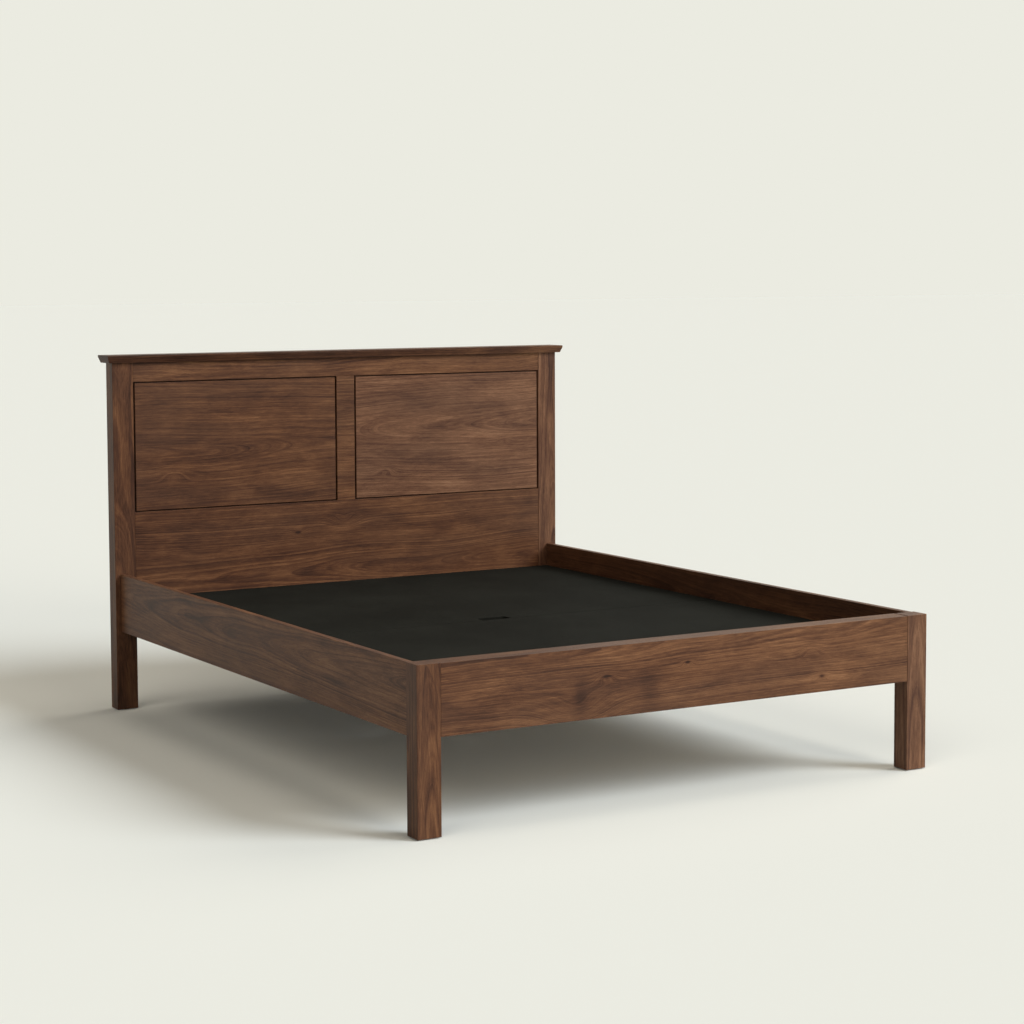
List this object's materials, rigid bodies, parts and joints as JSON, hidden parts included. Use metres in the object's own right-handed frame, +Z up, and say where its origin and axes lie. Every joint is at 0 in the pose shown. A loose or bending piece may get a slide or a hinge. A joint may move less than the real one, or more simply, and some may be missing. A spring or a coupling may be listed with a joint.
{
  "type": "bed frame",
  "caption": "Wooden bed frame with a panelled headboard under a bevelled cap, a low footboard on square legs, plain side rails and lift-out deck boards set in a well.",
  "frame": {"origin": "on the floor under the middle of the whole frame's box", "axes": "+Z up, +Y from the foot towards the headboard, +X to the right seen from the foot"},
  "size_m": [1.742, 2.152, 1.176],
  "materials": {
    "walnut": "walnut with a clear satin lacquer, visible cathedral grain and small knots",
    "support_wood": "planed light hardwood, left bare, out of sight under the deck",
    "black_deck": "board covered in thin matte near-black cloth that is glued down",
    "zinc_steel": "zinc-plated stamped steel",
    "black_steel": "black powder-coated steel tube",
    "black_plastic": "moulded matte black plastic"
  },
  "bodies": {
    "frame": {"headboard_post_left": "walnut", "headboard_post_right": "walnut", "headboard_cap": "walnut", "headboard_top_rail": "walnut", "headboard_lower_rail": "walnut", "headboard_centre_stile": "walnut", "headboard_panel_left": "walnut", "headboard_panel_right": "walnut", "foot_leg_left": "walnut", "foot_leg_right": "walnut", "footboard_rail": "walnut", "side_rail_left": "walnut", "side_rail_right": "walnut", "cap_dowels": "support_wood", "ledger_left": "support_wood", "ledger_right": "support_wood", "centre_beam": "support_wood", "ledger_screws": "zinc_steel", "rail_hook_plates": "zinc_steel", "hook_plate_screws": "zinc_steel", "post_slot_plates": "zinc_steel", "slot_plate_screws": "zinc_steel", "beam_hanger_foot": "zinc_steel", "beam_hanger_head": "zinc_steel", "hanger_screws": "zinc_steel", "centre_leg_screws": "zinc_steel", "centre_leg": "black_steel", "centre_leg_plug": "black_plastic", "centre_leg_foot": "black_plastic", "floor_glides": "black_plastic"},
    "deck_foot": {"deck_board_foot": "black_deck", "deck_battens_foot": "support_wood"},
    "deck_head": {"deck_board_head": "black_deck", "deck_battens_head": "support_wood"}
  },
  "joints": [
    {"name": "deck_foot_lift", "type": "slide", "parent": "frame", "child": "deck_foot", "axis": [0, 0, 1], "range_m": [0, 0.13]},
    {"name": "deck_head_lift", "type": "slide", "parent": "frame", "child": "deck_head", "axis": [0, 0, 1], "range_m": [0, 0.13]}
  ]
}
